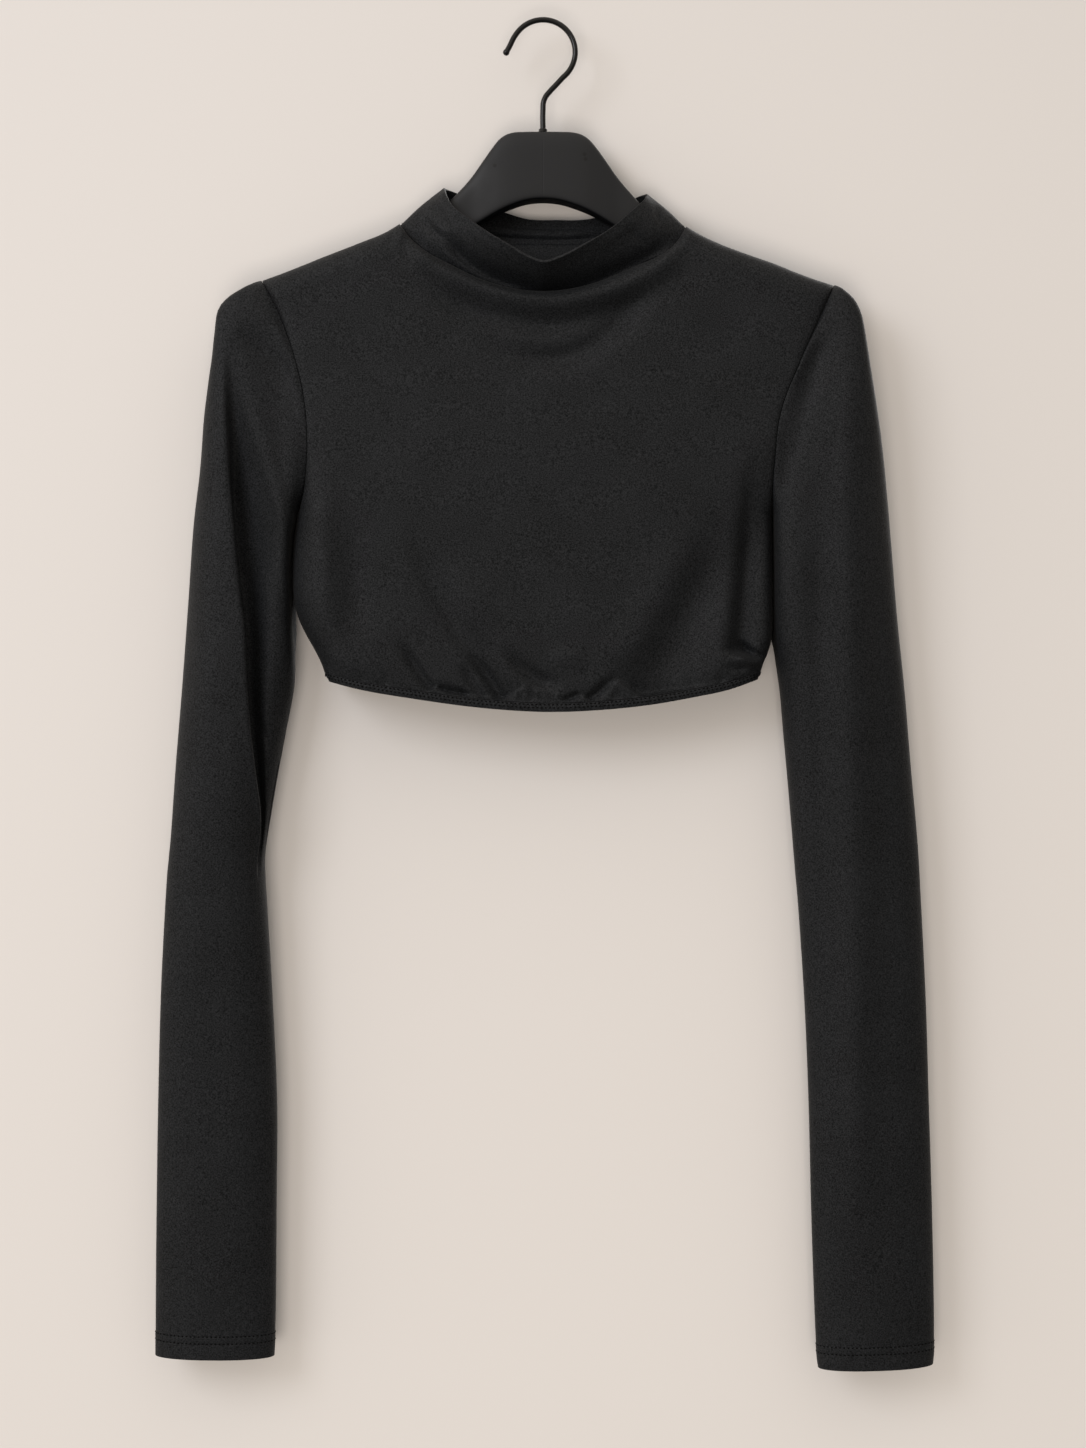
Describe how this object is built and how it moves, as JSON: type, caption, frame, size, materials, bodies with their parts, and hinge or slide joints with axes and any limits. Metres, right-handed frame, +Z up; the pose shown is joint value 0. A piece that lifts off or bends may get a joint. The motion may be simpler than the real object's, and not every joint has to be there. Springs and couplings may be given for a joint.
{
  "type": "crop top on a hanger",
  "caption": "Cropped top with a mock neck, long fitted sleeves and a gathered hem band, hanging flat on a contoured hanger with a wire hook.",
  "frame": {"origin": "inner top of the hanger's hook, where a rail or peg holds it", "axes": "+Z up, +X towards the garment's left sleeve, the garment's front faces -Y"},
  "size_m": [0.4901, 0.0563, 0.8502],
  "materials": {
    "black_jersey": "brushed stretch jersey, matte with a faint soft nap",
    "matte_black_plastic": "moulded plastic with a fine satin-matte surface",
    "black_lacquered_wire": "steel wire with glossy black lacquer"
  },
  "bodies": {
    "root": {"top_front": "black_jersey", "top_back": "black_jersey", "collar": "black_jersey", "sleeve_right": "black_jersey", "sleeve_left": "black_jersey", "hem_band": "black_jersey", "hanger_body": "matte_black_plastic", "hanger_hook": "black_lacquered_wire", "hook_ferrule": "black_lacquered_wire"}
  },
  "joints": []
}
